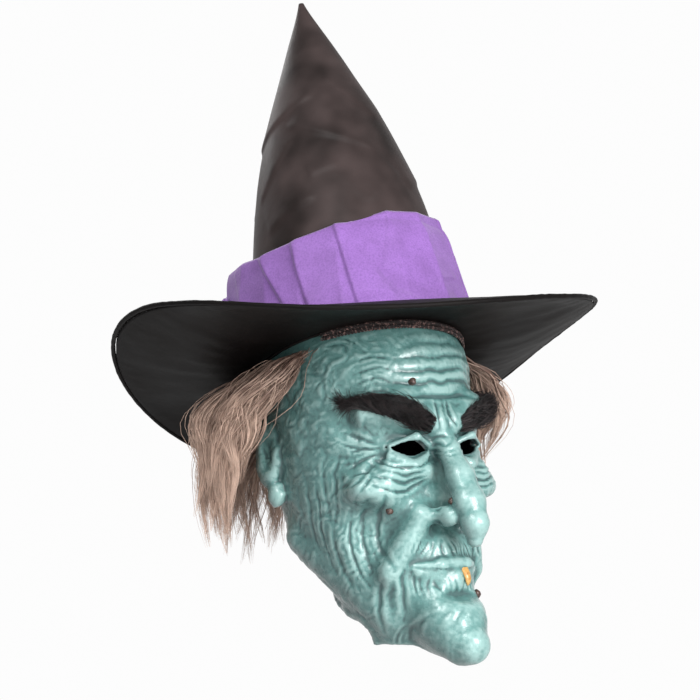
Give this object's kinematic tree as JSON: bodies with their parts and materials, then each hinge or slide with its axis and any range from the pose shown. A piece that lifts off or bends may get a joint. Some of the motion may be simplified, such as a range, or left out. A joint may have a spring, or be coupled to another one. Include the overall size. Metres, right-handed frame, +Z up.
{
  "type": "latex halloween mask",
  "caption": "Pull-over latex witch mask with long faux hair, fur brows and a wired satin witch hat that lifts off along its own axis.",
  "frame": {"origin": "middle of the wearer's head, inside the hood's cavity", "axes": "+Z up, the face looks along -Y, +X is the wearer's left"},
  "size_m": [0.442, 0.4189, 0.6032],
  "materials": {
    "latex": "semi-gloss painted latex",
    "fur": "long pile faux fur",
    "wart": "glossy",
    "tooth": "glossy, stained",
    "tape": "grosgrain tape",
    "hair": "wavy synthetic hair",
    "satin": "satin",
    "lining": "felted",
    "sash": "matte satin",
    "braid": "woven braid",
    "wire": "drawn"
  },
  "bodies": {
    "mask": {"latex_head_shell": "latex", "brow_right": "fur", "brow_left": "fur", "warts": "wart", "front_tooth": "tooth", "hair_weft": "tape", "hair_left": "hair", "hair_right": "hair", "hair_back": "hair"},
    "hat": {"crown_cone": "satin", "crown_interlining": "lining", "hatband_wrap": "sash", "hatband_back_fold": "sash", "hatband_tuck": "sash", "sweatband": "tape", "forehead_trim": "braid", "brim_bottom_ply": "satin", "brim_stiffener": "lining", "brim_top_ply": "satin", "brim_wire": "wire", "wire_ferrule": "wire", "brim_binding": "satin"}
  },
  "joints": [
    {"name": "hat_lift", "type": "slide", "parent": "mask", "child": "hat", "axis": [0.0941, 0.329, 0.9396], "range_m": [0, 0.16]}
  ]
}
